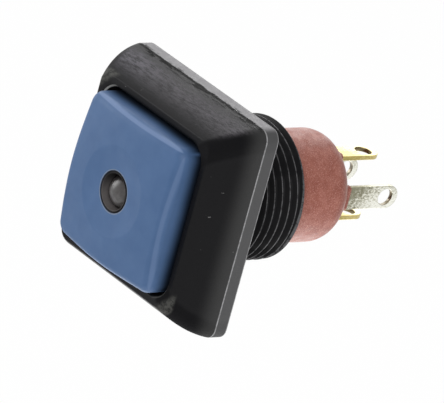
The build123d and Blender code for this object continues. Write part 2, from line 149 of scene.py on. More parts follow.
# Distance from the axis to a square with rounded corners, along each angle: the straight side, or where the
# ray leaves the corner's circle. A corner as large as the half-width makes a circle. The bow pulls a side in
# smoothly from its middle to its corners.
def squareReach(angle, half, corner, bow=0.0):
    cosine, sine = np.abs(np.cos(angle)), np.abs(np.sin(angle))
    major, minor = np.maximum(cosine, sine), np.minimum(cosine, sine)
    centre = half - bow - corner
    share = np.clip(minor / major * half / np.maximum(centre, tiny), 0, 1)
    side = (half - bow * (1 - np.cos(np.pi * share)) / 2) / major
    along = centre * (major + minor)
    arc = along + np.sqrt(np.maximum(along**2 - 2 * centre**2 + corner**2, 0))
    return np.where(side * minor > centre, arc, side)


# Points round the axis at a reach and a depth for each row and angle.
def roundAxis(angle, reach, depth):
    reach, depth = np.broadcast_arrays(reach, depth)
    return np.stack([reach * np.sin(angle), depth, reach * np.cos(angle)], -1)


# The same for a profile whose rows are half-width, depth and corner. A bow may pull the sides in.
def squareRows(profile, bow=0.0):
    half, depth, corner = profile[:, :, None].transpose(1, 0, 2)
    return roundAxis(squareAngle, squareReach(squareAngle, half, corner, bow), depth)


# The same for a profile whose rows are radius and depth.
def roundRows(profile):
    radius, depth = profile[:, :, None].transpose(1, 0, 2)
    return roundAxis(roundAngle, radius + 0 * roundAngle, depth)


# Rows that round off the inner corners of a profile: at each corner a quadratic curve between the points at
# the given reach before and after it, and one more row on each side that keeps the flat stretches flat.
def softCorners(corners, reach, steps=4, flatReach=1.7):
    corners = np.array(corners, float)
    reach = np.array(reach, float)[:, None]
    here = corners[1:-1]
    before, after = corners[:-2] - here, corners[2:] - here
    before = before / np.linalg.norm(before[:, :2], axis=1, keepdims=True)
    after = after / np.linalg.norm(after[:, :2], axis=1, keepdims=True)
    start, finish = here + before * reach, here + after * reach
    t = np.linspace(0, 1, steps)[:, None, None]
    curve = (1 - t) ** 2 * start + 2 * t * (1 - t) * here + t**2 * finish
    rows = np.concatenate([[here + before * reach * flatReach], curve, [here + after * reach * flatReach]])
    return rows.transpose(1, 0, 2).reshape(-1, corners.shape[1])


# A new node in a tree, with the given properties.
def addNode(tree, kind, **values):
    node = tree.nodes.new(kind)
    for key, value in values.items():
        setattr(node, key, value)
    return node


# A new material, and short ways to add the nodes that the finishes use. Masks run from nought to one.
class Shader:
    def __init__(self, name):
        self.material = bpy.data.materials.new(name)
        self.material.use_nodes = True
        self.tree = self.material.node_tree
        self.surface = self.tree.nodes["Principled BSDF"]
        self.place = self.add("ShaderNodeTexCoord").outputs["Object"]

    def add(self, kind, **values):
        return addNode(self.tree, kind, **values)

    def link(self, source, target):
        self.tree.links.new(source, target)

    def set(self, **values):  # constants, on the shader's own sockets
        for key, value in values.items():
            self.surface.inputs[key.replace("_", " ")].default_value = value

    def colour(self, source):
        self.link(source, self.surface.inputs["Base Color"])

    def roughness(self, source):
        self.link(source, self.surface.inputs["Roughness"])

    def bump(self, height, strength, distance):
        node = self.add("ShaderNodeBump")
        node.inputs["Strength"].default_value = strength
        node.inputs["Distance"].default_value = distance * mm
        self.link(height, node.inputs["Height"])
        self.link(node.outputs["Normal"], self.surface.inputs["Normal"])

    def axes(self):  # the place's three numbers
        node = self.add("ShaderNodeSeparateXYZ")
        self.link(self.place, node.inputs["Vector"])
        return node.outputs

    def stretched(self, scale):  # the place, scaled along the object's axes
        node = self.add("ShaderNodeMapping")
        node.inputs["Scale"].default_value = scale
        self.link(self.place, node.inputs["Vector"])
        return node.outputs["Vector"]

    def noise(self, scale, detail=4.0, rough=0.55, vector=None):
        node = self.add("ShaderNodeTexNoise")
        node.inputs["Scale"].default_value = scale
        node.inputs["Detail"].default_value = detail
        node.inputs["Roughness"].default_value = rough
        self.link(vector or self.place, node.inputs["Vector"])
        return node.outputs["Fac"]

    def ramp(self, value, stops):
        node = self.add("ShaderNodeValToRGB")
        elements = node.color_ramp.elements
        while len(elements) < len(stops):
            elements.new(0.5)
        for element, (at, colour) in zip(elements, stops):
            element.position = at
            element.color = (*colour, 1)
        self.link(value, node.inputs["Fac"])
        return node.outputs["Color"]

    def blend(self, share, one, two):
        node = self.add("ShaderNodeMix", data_type="RGBA")
        for socket, value in zip((node.inputs[0], node.inputs[6], node.inputs[7]), (share, one, two)):
            if isinstance(value, tuple):
                socket.default_value = (*value, 1)
            else:
                self.link(value, socket)
        return node.outputs[2]

    def layers(self, colour, masksAndColours):  # each colour over the ones before it
        for mask, over in masksAndColours:
            colour = self.blend(mask, colour, over)
        return colour

    def spread(self, value, span, low=0, high=1):  # from low to high, smoothly, as the value passes the span
        node = self.add("ShaderNodeMapRange", interpolation_type="SMOOTHSTEP")
        for key, number in zip(("From Min", "From Max", "To Min", "To Max"), (*span, low, high)):
            node.inputs[key].default_value = number
        self.link(value, node.inputs["Value"])
        return node.outputs["Result"]

    def along(self, length, span, low=0, high=1):  # the same for a span in millimetres
        return self.spread(length, [end * mm for end in span], low, high)

    def band(self, length, middle, half, soft):  # one near the middle, nought away from it
        rise = self.along(length, (middle - half - soft, middle - half))
        return self.times(rise, self.along(length, (middle + half, middle + half + soft), 1, 0))

    def combine(self, how, one, two=0):
        node = self.add("ShaderNodeMath", operation=how)
        for socket, value in zip(node.inputs, (one, two)):
            if isinstance(value, (int, float)):
                socket.default_value = value
            else:
                self.link(value, socket)
        return node.outputs["Value"]

    def plus(self, one, two):
        return self.combine("ADD", one, two)

    def minus(self, one, two):
        return self.combine("SUBTRACT", one, two)

    def times(self, first, *others):
        for other in others:
            first = self.combine("MULTIPLY", first, other)
        return first

    def larger(self, one, two):
        return self.combine("MAXIMUM", one, two)

    def size(self, value):  # without its sign
        return self.combine("ABSOLUTE", value)

    def distance(self, one, two):  # the long side of a right-angled triangle
        return self.combine("SQRT", self.plus(self.times(one, one), self.times(two, two)))

    def pastSquare(self, sideX, sideZ, half):  # distance past a square, also round its corners
        pastX = self.larger(self.minus(sideX, half * mm), 0)
        pastZ = self.larger(self.minus(sideZ, half * mm), 0)
        return self.distance(pastX, pastZ)


# The finishes read their settings as k. A noise is its scale per metre, its detail and its roughness, and its
# limits are where its mask starts and ends. Other pairs are spans in millimetres, or a lowest and a highest
# value. Three numbers are a band's middle, half-width and soft edge in millimetres, a noise's scale along the
# three axes, or a colour in linear red, green and blue.
noiseMiddle = (0.3, 0.7)  # most of a noise lies between these

black = {
    "plain": (0.0078, 0.0077, 0.0086), "shine": 0.10,
    # the upper slope, rubbed between its ridges and in front of the flange's back
    "topHeight": (7.5, 9.0), "topRidge": (0.2, 1.2), "topBack": (-0.08, -0.02),
    "streak": (3600, 7, 0.8), "streakScale": (0.28, 1.0, 1.0), "streakLimits": (0.36, 0.62),
    "streakWeak": 0.1,
    "scuffLeft": (0.200, 0.192, 0.216), "scuffRight": (0.135, 0.128, 0.140), "scuffTurns": (-7.0, -1.0),
    "scuffFades": (-9.2, -6.6), "scuffWeak": 0.62,
    "nicks": [
        {"noise": (2600, 4, 0.65), "scale": (0.30, 1.0, 1.0), "limits": (0.53, 0.57),
         "band": (-1.5, 0.25, 0.4)},
        {"noise": (4600, 5, 0.75), "scale": (0.40, 1.0, 1.0), "limits": (0.44, 0.50),
         "band": (-1.38, 0.10, 0.14)},
    ],
    "nickColour": (0.001, 0.001, 0.001), "nickDepth": 1.2,
    # the flange: painted light on the slope's foot and on the flat wall (palest on top), and the wall's two
    # edges
    "flangeStart": 8.15, "flangeWall": (0.8, 0.9),
    "footDepth": (-3.4, -1.3), "footAcross": (0.0, 0.85), "footWeak": 0.1, "footLitColour": (0.05, 0.05, 0.05),
    "wallFront": (-1.25, -1.18), "wallSideLit": (0.108, 0.108, 0.110), "wallTopLit": (0.365, 0.358, 0.370),
    "edgesAt": (-1.2, -0.04), "edgeHalf": 0.03, "edgeSoft": 0.05, "edgeWeak": 0.5,
    "edgeColour": (0.42, 0.42, 0.43),
    # a painted highlight on the pocket's mouth, and paler patches on the front ring that are partly wear and
    # partly painted light, at the upper left and lower right corners
    "mouthStart": 4.95, "mouthBand": (1.87, 0.05, 0.05), "mouthDiagonal": (11.9, 12.5),
    "mouthFront": (-5.2, -5.1), "mouthFades": (-1.0, 1.0), "mouthWeak": 0.2,
    "mouthHighlightColour": (0.30, 0.30, 0.285),
    "ringDiagonal": (13.0, 13.7), "ringFront": (-5.05, -4.8), "ringWearAndLightColour": (0.075, 0.075, 0.070),
    # the thread's crests and the edge round the bushing's end: worn, and with a painted highlight
    "crest": (5.91, 5.95), "crestFront": (0.6, 0.9), "crestRear": (7.3, 7.32),
    "endBand": (7.52, 0.03, 0.04), "endInner": (5.6, 5.7), "endOuter": (6.0, 6.1),
    "crestWearAndHighlightColour": (0.15, 0.15, 0.155),
    # painted light in the sleeve round the lamp: paler low down, fading towards the top
    "sleeve": (1.54, 1.56), "sleeveFront": (-6.6, -6.2), "sleeveLitFades": (-1.2, 1.2), "sleeveLitWeak": 0.12,
    "sleeveLitColour": (0.125, 0.115, 0.113),
    # what lies all over: uneven wear, flecks, gloss and grain
    "wear": (2600, 4, 0.7), "wearLimits": (0.36, 0.60), "wearWeak": 0.2,
    "fleck": (1700, 4, 0.7), "fleckScale": (1.0, 0.45, 1.0), "fleckLimits": (0.70, 0.715),
    "fleckBack": (-0.4, 0.0), "fleckColour": (0.16, 0.16, 0.16),
    "gloss": (300, 3), "glossRough": (0.36, 0.44), "rubbedRough": 0.30,
    "ridgeBand": (0.4, 0.8, 1.0), "ridgeTurns": (-2.0, 2.0), "ridgeRough": (0.28, 0.7),
    "grain": (9000, 2), "grainHeight": 0.25, "bumpStrength": 0.6, "bumpHeight": 0.08,
}


# Black satin plastic: pale streaks and dark nicks where the upper slope has been rubbed, flecks, and a duller
# shine along the slopes' ridges. Painted light: highlights on the pocket's mouth and on the worn edges of the
# flange and the thread's crests, paler patches on the front ring that are partly wear, a grey flange wall
# paler on top, a paler foot of the slope, and a paler lower sleeve round the lamp.
def blackPlastic(k):
    m = Shader("black_plastic")
    x, y, z = m.axes()
    sideX, sideZ = m.size(x), m.size(z)
    fromAxis = m.distance(x, z)
    diagonal = m.size(m.minus(x, z))  # large at the upper left and lower right corners
    wear = m.spread(m.noise(*k["wear"]), k["wearLimits"], k["wearWeak"], 1)

    betweenRidges = m.along(m.minus(z, sideX), k["topRidge"])
    onTop = m.times(m.along(z, k["topHeight"]), betweenRidges, m.along(y, k["topBack"], 1, 0))
    streak = m.noise(*k["streak"], m.stretched(k["streakScale"]))
    scuffs = m.times(m.spread(streak, k["streakLimits"], k["streakWeak"], 1), onTop,
                     m.along(x, k["scuffFades"], k["scuffWeak"], 1))
    nicks = m.larger(*[
        m.times(m.spread(m.noise(*nick["noise"], m.stretched(nick["scale"])), nick["limits"]),
                m.band(y, *nick["band"]), onTop) for nick in k["nicks"]])

    pastFlange = m.pastSquare(sideX, sideZ, k["flangeStart"])
    onFlange = m.along(pastFlange, k["flangeWall"])
    # painted light: the slope's foot beside the flange is painted paler
    foot = m.times(m.along(y, k["footDepth"]), m.along(pastFlange, k["footAcross"], k["footWeak"], 1))
    # painted light: the flange's flat wall is painted grey, much paler on top than at the sides
    wall = m.times(onFlange, m.along(y, k["wallFront"]))
    # the flange wall's front and back edges: worn, and with a painted highlight
    edgeWearAndHighlight = m.larger(*[m.band(y, at, k["edgeHalf"], k["edgeSoft"]) for at in k["edgesAt"]])
    edgeWearAndHighlight = m.times(edgeWearAndHighlight, onFlange, m.spread(wear, (0, 1), k["edgeWeak"], 1))

    # a painted highlight along the pocket's rounded mouth at the upper left and lower right corners, weaker
    # on the right
    mouthHighlight = m.band(m.pastSquare(sideX, sideZ, k["mouthStart"]), *k["mouthBand"])
    mouthHighlight = m.times(m.along(diagonal, k["mouthDiagonal"]), mouthHighlight, m.along(y, k["mouthFront"], 1, 0),
                    m.along(x, k["mouthFades"], 1, k["mouthWeak"]))
    # paler patches on the front ring's corners: partly wear, partly painted light
    ring = m.times(m.along(diagonal, k["ringDiagonal"]), m.along(y, k["ringFront"], 1, 0), wear)

    # the thread's crests and the bushing's end edge: worn, and with a painted highlight
    crestWearAndHighlight = m.times(m.along(fromAxis, k["crest"]), m.along(y, k["crestFront"]),
                     m.along(y, k["crestRear"], 1, 0))
    end = m.times(m.band(y, *k["endBand"]), m.along(fromAxis, k["endInner"]),
                  m.along(fromAxis, k["endOuter"], 1, 0))
    crestWearAndHighlight = m.times(m.larger(crestWearAndHighlight, end), wear)
    # painted light in the lamp's sleeve: paler low down, fading upwards
    sleeveLitLow = m.times(m.along(fromAxis, k["sleeve"], 1, 0), m.along(y, k["sleeveFront"], 1, 0),
                   m.along(z, k["sleeveLitFades"], 1, k["sleeveLitWeak"]))
    flecks = m.times(m.spread(m.noise(*k["fleck"], m.stretched(k["fleckScale"])), k["fleckLimits"]),
                     m.along(y, k["fleckBack"], 1, 0))

    scuffColour = m.blend(m.along(x, k["scuffTurns"]), k["scuffLeft"], k["scuffRight"])
    # the flange wall's painted light: pale grey on top, darker grey at the sides
    wallLitColour = m.blend(onTop, k["wallSideLit"], k["wallTopLit"])
    m.colour(m.layers(m.blend(scuffs, k["plain"], scuffColour), [
        (foot, k["footLitColour"]), (flecks, k["fleckColour"]), (ring, k["ringWearAndLightColour"]),
        (mouthHighlight, k["mouthHighlightColour"]), (wall, wallLitColour), (crestWearAndHighlight, k["crestWearAndHighlightColour"]), (edgeWearAndHighlight, k["edgeColour"]),
        (sleeveLitLow, k["sleeveLitColour"]), (nicks, k["nickColour"])]))

    gloss = m.spread(m.noise(*k["gloss"]), noiseMiddle, *k["glossRough"])
    ridges = m.times(m.band(m.minus(sideX, sideZ), *k["ridgeBand"]),
                     m.along(x, k["ridgeTurns"], *k["ridgeRough"]))
    m.roughness(m.plus(m.plus(gloss, ridges), m.times(m.larger(scuffs, nicks), k["rubbedRough"])))
    m.set(Specular_IOR_Level=k["shine"])
    rubbed = m.times(m.minus(streak, m.times(nicks, k["nickDepth"])), onTop)
    grain = m.times(m.noise(*k["grain"]), k["grainHeight"])
    m.bump(m.plus(grain, rubbed), k["bumpStrength"], k["bumpHeight"])
    return m.material


blue = {
    "cloud": (500, 4), "shades": [(0.3, (0.065, 0.128, 0.262)), (0.7, (0.079, 0.148, 0.294))],
    "gapShadeDepth": (-6.3, -4.9), "gapShadeAcross": (5.9, 6.2), "gapShadeColour": (0.006, 0.010, 0.018),
    "edgeHighlightBand": (6.19, 0.06, 0.12), "edgeHighlightFront": (-6.6, -6.4), "edgeHighlightTurns": (-0.4, 0.2), "edgeWeak": 0.4,
    "edgeColour": (0.165, 0.245, 0.42),
    "holeShadeReach": (1.73, 1.74), "holeShadeDepth": (-7.6, -7.3), "holeShadeColour": (0.006, 0.008, 0.012),
    "rimHighlightBand": (1.78, 0.02, 0.04), "rimHighlightFront": (-7.0, -6.8), "rimHighlightShare": 0.8, "rimHighlightColour": (0.20, 0.24, 0.31),
    "gloss": (900, 3), "glossRough": (0.48, 0.58), "shine": 0.2,
    "grain": (7000, 2), "bumpStrength": 0.08, "bumpHeight": 0.02,
}


# Blue plastic: one muted, slightly cloudy colour with a soft shine, with a painted highlight on its front
# edge and round the lamp's hole, and painted shade low on its sides and in the hole.
def bluePlastic(k):
    m = Shader("blue_plastic")
    x, y, z = m.axes()
    sideX, sideZ = m.size(x), m.size(z)
    fromAxis, across = m.distance(x, z), m.larger(sideX, sideZ)
    # painted shade: dark low on the sides, towards the gap round the cap
    low = m.times(m.along(y, k["gapShadeDepth"]), m.along(across, k["gapShadeAcross"]))
    # a painted highlight along the cap's front edge, weaker on the right side
    edge = m.times(m.band(across, *k["edgeHighlightBand"]), m.along(y, k["edgeHighlightFront"], 1, 0),
                   m.along(m.minus(x, sideZ), k["edgeHighlightTurns"], 1, k["edgeWeak"]))
    # painted shade inside the lamp's hole
    hole = m.times(m.along(fromAxis, k["holeShadeReach"], 1, 0), m.along(y, k["holeShadeDepth"]))
    # a painted highlight round the rim of the lamp's hole
    rim = m.times(m.band(fromAxis, *k["rimHighlightBand"]), m.along(y, k["rimHighlightFront"], 1, 0), k["rimHighlightShare"])
    m.colour(m.layers(m.ramp(m.noise(*k["cloud"]), k["shades"]), [
        (low, k["gapShadeColour"]), (edge, k["edgeColour"]), (hole, k["holeShadeColour"]), (rim, k["rimHighlightColour"])]))
    m.roughness(m.spread(m.noise(*k["gloss"]), noiseMiddle, *k["glossRough"]))
    m.set(Specular_IOR_Level=k["shine"])
    m.bump(m.noise(*k["grain"]), k["bumpStrength"], k["bumpHeight"])
    return m.material


red = {
    "mottle": (900, 6, 0.7),
    "shades": [(0.32, (0.32, 0.092, 0.064)), (0.52, (0.40, 0.135, 0.098)), (0.68, (0.50, 0.20, 0.155))],
    "speck": (9500, 4, 0.8),
    "darkLimits": (0.36, 0.46), "darkShare": 0.45, "darkColour": (0.20, 0.050, 0.034),
    "paleLimits": (0.53, 0.62), "paleShare": 0.7, "paleColour": (0.66, 0.36, 0.30),
    "gloss": (1500, 3), "glossRough": (0.42, 0.60), "sheen": 0.18, "sheenRough": 0.35, "shine": 0.35,
    "grain": (4200, 4), "bumpStrength": 0.25, "bumpHeight": 0.03,
}


# Red-brown thermoset: mottled, with dark and pale specks and a dry surface.
def redThermoset(k):
    m = Shader("red_thermoset")
    mottle = m.ramp(m.noise(*k["mottle"]), k["shades"])
    speck = m.noise(*k["speck"])
    m.colour(m.layers(mottle, [
        (m.spread(speck, k["darkLimits"], k["darkShare"], 0), k["darkColour"]),
        (m.spread(speck, k["paleLimits"], 0, k["paleShare"]), k["paleColour"])]))
    m.roughness(m.spread(m.noise(*k["gloss"]), noiseMiddle, *k["glossRough"]))
    m.set(Sheen_Weight=k["sheen"], Sheen_Roughness=k["sheenRough"], Specular_IOR_Level=k["shine"])
    m.bump(m.noise(*k["grain"]), k["bumpStrength"], k["bumpHeight"])
    return m.material


# Each plating: colours, roughness, the axis that runs across its strips, and where a strip's tip is. The
# steel parts have no tip, so theirs is far away.
goldPlate = {"clean": (0.82, 0.71, 0.41), "pale": (0.71, 0.60, 0.28), "dull": (0.42, 0.34, 0.12),
             "rough": 0.26, "across": "x", "tip": 19.15}
silverPlate = {"clean": (0.88, 0.88, 0.80), "pale": (0.62, 0.61, 0.51), "dull": (0.24, 0.23, 0.16),
               "rough": 0.26, "across": "z", "tip": 20.2}
steelPlate = {"clean": (0.66, 0.66, 0.67), "pale": (0.62, 0.62, 0.63), "dull": (0.48, 0.48, 0.50),
              "rough": 0.22, "across": "x", "tip": 1000.0}
plating = {
    "grain": (5200, 6, 0.85), "grainScale": (1.0, 0.6, 1.0), "dullAt": 0.41, "paleAt": 0.50, "cleanAt": 0.61,
    "cleaner": (15.0, 18.5), "cleanerBy": (-0.10, 0.08), "lean": (-0.9, 0.9), "leanBy": (0.05, -0.05),
    "endInset": 1.0, "cutEdge": (0.93, 0.97), "cutShare": 0.55,
    "holeInset": 1.3, "holeShadeReach": (0.73, 0.76), "holeShare": 0.85, "holeShadeColour": (0.12, 0.09, 0.05),
    "marks": (2500, 3, 0.6), "marksScale": (1.0, 0.15, 1.0), "marksRough": 0.14,
    "bumpStrength": 0.15, "bumpHeight": 0.02,
}


# A plated strip: a metal colour with a grain of dull and pale patches, cleaner towards the tip, duller on the
# cut edges, with painted shade in the eyelet, and with fine marks along its length.
def platedStrip(name, plate, k):
    m = Shader(name)
    x, y, z = m.axes()
    across = {"x": x, "z": z}[plate["across"]]
    patches = m.noise(*k["grain"], m.stretched(k["grainScale"]))
    patches = m.plus(patches, m.along(y, k["cleaner"], *k["cleanerBy"]))
    patches = m.plus(patches, m.along(across, k["lean"], *k["leanBy"]))
    body = m.ramp(patches, [
        (k["dullAt"], plate["dull"]), (k["paleAt"], plate["pale"]), (k["cleanAt"], plate["clean"])])
    pastEnd = m.larger(m.minus(y, (plate["tip"] - k["endInset"]) * mm), 0)
    fromHole = m.minus(y, (plate["tip"] - k["holeInset"]) * mm)
    m.colour(m.layers(body, [
        (m.along(m.distance(across, pastEnd), k["cutEdge"], 0, k["cutShare"]), plate["dull"]),
        # painted shade in the eyelet
        (m.along(m.distance(across, fromHole), k["holeShadeReach"], k["holeShare"], 0), k["holeShadeColour"])]))
    marks = m.noise(*k["marks"], m.stretched(k["marksScale"]))
    m.roughness(m.spread(marks, noiseMiddle, plate["rough"], plate["rough"] + k["marksRough"]))
    m.set(Metallic=1.0)
    m.bump(marks, k["bumpStrength"], k["bumpHeight"])
    return m.material


resin = {
    "cloud": (1500, 5, 0.7), "cloudLimits": (0.35, 0.6), "cloudWeak": 0.3, "low": (-1.0, 0.8), "lowWeak": 0.1,
    "smoky": (0.085, 0.075, 0.080), "pale": (0.42, 0.405, 0.40),
    "through": 0.70, "rough": 0.30, "bending": 1.5,
}


# Clear cast resin of a small lamp: smoky, rubbed dull, and with a pale cloud; painted light makes the cloud
# paler low down and weaker towards the top.
def clearResin(k):
    m = Shader("clear_resin")
    z = m.axes()[2]
    # painted light: the pale cloud is strongest low down and fades towards the top
    cloud = m.times(m.along(z, k["low"], 1, k["lowWeak"]),
                    m.spread(m.noise(*k["cloud"]), k["cloudLimits"], k["cloudWeak"], 1))
    m.colour(m.blend(cloud, k["smoky"], k["pale"]))
    m.set(Transmission_Weight=k["through"], Roughness=k["rough"], IOR=k["bending"])
    return m.material


# The dull surfaces differ in colour and roughness and share the rest.
dullParts = {
    "rubber": ((0.012, 0.012, 0.013), 0.62),
    "dark_resin": ((0.030, 0.010, 0.008), 0.35),
    "dark_plastic": ((0.012, 0.012, 0.012), 0.45),
    "lamp_chip": ((0.25, 0.02, 0.02), 0.30),
}
dullness = {
    "cloud": (1200, 4), "plainAt": 0.35, "palerAt": 0.7, "paler": 1.6, "gloss": (2000, 3), "glossRough": 0.12,
    "grain": (6000, 2), "bumpStrength": 0.12, "bumpHeight": 0.02,
}


# A dull dark surface: rubber, sealing resin, a dark moulding or the lamp's chip.
def darkDull(name, colour, rough, k):
    m = Shader(name)
    paler = tuple(min(1.0, part * k["paler"]) for part in colour)
    m.colour(m.ramp(m.noise(*k["cloud"]), [(k["plainAt"], colour), (k["palerAt"], paler)]))
    m.roughness(m.spread(m.noise(*k["gloss"]), noiseMiddle, rough, rough + k["glossRough"]))
    m.bump(m.noise(*k["grain"]), k["bumpStrength"], k["bumpHeight"])
    return m.material


finishes = {
    "black_plastic": blackPlastic(black),
    "blue_plastic": bluePlastic(blue),
    "red_thermoset": redThermoset(red),
    "gold_plate": platedStrip("gold_plate", goldPlate, plating),
    "silver_plate": platedStrip("silver_plate", silverPlate, plating),
    "steel": platedStrip("steel", steelPlate, plating),
    "clear_resin": clearResin(resin),
}
for name, (colour, rough) in dullParts.items():
    finishes[name] = darkDull(name, colour, rough, dullness)
for part in frame["record"]["subparts"]:  # every node that stays gets the finish of its slot
    carried = nodes[part["node"]]
    carried.data.materials.clear()
    carried.data.materials.append(finishes[part["material_slot"]])
print("finishes:", len(finishes))

# Bezel and threaded bushing, one moulding. Depths are along the axis from the panel: the front is negative.
bezel = {
    "flange": 9.15, "flangeCorner": 1.0, "flangeEdge": -1.2, "edgeRound": 0.05,
    "ring": 7.4, "ringCorner": 1.0, "ringFront": -5.3, "ringRound": 0.08,
    "slopeRadius": 8.8, "slopeRows": 26,
    "pocket": 6.75, "pocketCorner": 1.8, "pocketFloor": -0.9, "pocketRound": 0.2, "floorRound": 0.2,
    "guide": 3.32, "guideRear": 1.7, "guideRound": 0.12, "seam": 1.0,
    "sealBore": 4.3, "sealRear": 3.0, "rearBore": 4.72, "rearBevel": 0.15,
    "endRound": 0.04, "boreRound": 0.06,
    "thread": 5.95, "length": 7.6, "pitch": 25.4 / 32, "threadStart": 0.715, "flankDepth": 0.43,
    "crestShare": 0.09, "rootShare": 0.28, "chamfer": 0.1,
    "threadRows": 240, "firstRow": 0.01, "lastRowInset": 0.06,
}


# The slope in section: points on the circular arc of the given radius from the flange's edge to the ring.
def slopeArc(b):
    start, finish = np.array([b["flange"], b["flangeEdge"]]), np.array([b["ring"], b["ringFront"]])
    chord = finish - start
    reach = np.sqrt(b["slopeRadius"] ** 2 - (chord**2).sum() / 4)
    centre = (start + finish) / 2 + reach * np.array([chord[1], -chord[0]]) / np.linalg.norm(chord)
    first, last = np.arctan2(*(start - centre)[::-1]), np.arctan2(*(finish - centre)[::-1])
    turn = np.linspace(first, last, b["slopeRows"])
    return centre + b["slopeRadius"] * np.stack([np.cos(turn), np.sin(turn)], -1)


# Radius of the right-hand thread at an angle and a depth: full at the crest, which climbs one pitch a turn,
# straight down a flank on each side and flat at the root. It starts behind the flange and ends in a chamfer.
def threadReach(b, angle, depth):
    turns = (depth - b["threadStart"]) / b["pitch"] - np.mod(angle, 2 * np.pi) / (2 * np.pi)
    groove = np.round(turns)
    away = 2 * np.abs(turns - groove)
    flank = np.clip((1 - b["crestShare"] - away) / (1 - b["crestShare"] - b["rootShare"]), 0, 1)
    cut = np.where(groove < 0, 0, b["flankDepth"] * flank)
    cone = b["thread"] - np.clip(depth - (b["length"] - b["chamfer"]), 0, b["chamfer"])
    return np.minimum(b["thread"] - cut, cone)


# The whole moulding as one closed profile carried round the axis: the bore, pocket and ring, the slope as
# rounded squares on the arc, the flange, the thread, and the bores behind it back to the first row.
def bezelGrid(b):
    arc = slopeArc(b)
    front = softCorners(
        [(b["guide"], b["seam"], b["guide"]), (b["guide"], b["pocketFloor"], b["guide"]),
         (b["pocket"], b["pocketFloor"], b["pocketCorner"]), (b["pocket"], b["ringFront"], b["pocketCorner"]),
         (b["ring"], b["ringFront"], b["ringCorner"]), (*arc[-2], b["ringCorner"])],
        [b["guideRound"], b["floorRound"], b["pocketRound"], b["ringRound"]])
    slope = np.column_stack([arc[-2:0:-1], np.full(len(arc) - 2, b["flangeCorner"])])
    flange = softCorners(
        [(*arc[1], b["flangeCorner"]), (b["flange"], b["flangeEdge"], b["flangeCorner"]),
         (b["flange"], 0, b["flangeCorner"]), (b["thread"], 0, b["thread"])],
        [b["edgeRound"], b["edgeRound"]])
    endRadius, mouthRadius = b["thread"] - b["chamfer"], b["rearBore"] + b["rearBevel"]
    rear = softCorners(
        [(b["thread"], b["length"] - b["chamfer"], b["thread"]), (endRadius, b["length"], endRadius),
         (mouthRadius, b["length"], mouthRadius),
         (b["rearBore"], b["length"] - b["rearBevel"], b["rearBore"]),
         (b["rearBore"], b["sealRear"], b["rearBore"]), (b["sealBore"], b["sealRear"], b["sealBore"]),
         (b["sealBore"], b["guideRear"], b["sealBore"]), (b["guide"], b["guideRear"], b["guide"]),
         (b["guide"], b["seam"], b["guide"])],
        [b["endRound"]] * 3 + [b["boreRound"]] * 4)
    threadDepth = np.linspace(b["firstRow"], b["length"] - b["lastRowInset"], b["threadRows"])[:, None]
    return np.vstack([
        squareRows(np.vstack([front, slope, flange])),
        roundAxis(squareAngle, threadReach(b, squareAngle, threadDepth), threadDepth),
        squareRows(rear),
    ])


makePiece("bezel_shell", [(bezelGrid(bezel), "loop")], "housing", "black_plastic", ["bezel"])

# Button cap. The rows across its face are a start, an end and a count.
cap = {
    "half": 6.42, "corner": 1.0, "bow": 0.1, "edgeRound": 0.7, "top": -7.826, "dome": 36.0,
    "dishReach": 3.75, "dish": 26.0, "rimSoft": 0.004,
    "hole": 1.72, "holeRound": 0.04, "holeEdgeTo": 2.2, "holeSeam": -6.8,
    "dishRows": (2.0, 3.1, 6), "rimRows": (3.25, 4.4, 14), "outerRows": (0.08, 1, 12),
    "edgeRows": (8, 90, 11), "sideRows": (0.03, 0.3, 0.6, 0.95), "sideEnd": -4.0,
    "roof": -6.1, "skirt": -2.7, "wall": 1.15, "innerCorner": 0.6,
    "socket": 3.27, "socketWall": 0.9, "socketRear": -3.0,
    "snapDepth": -4.7, "snapHalf": 0.32, "snapCut": 0.17,
    "skirtRound": 0.1, "lipRound": 0.06, "socketRound": 0.05, "snapRound": 0.02, "innerHoleRound": 0.04,
}


# Depth of the cap's face at a distance from the axis: a dome, and inside the rim a dish, whichever is deeper,
# with the meeting line softened by a hyperbola.
def faceDepth(c, reach):
    dome = c["top"] + c["dome"] - np.sqrt(c["dome"] ** 2 - reach**2)
    rim = c["top"] + c["dome"] - np.sqrt(c["dome"] ** 2 - c["dishReach"] ** 2)
    dish = rim - np.sqrt(c["dish"] ** 2 - c["dishReach"] ** 2) + np.sqrt(c["dish"] ** 2 - reach**2)
    return (dome + dish) / 2 + np.sqrt(((dome - dish) / 2) ** 2 + c["rimSoft"] ** 2)


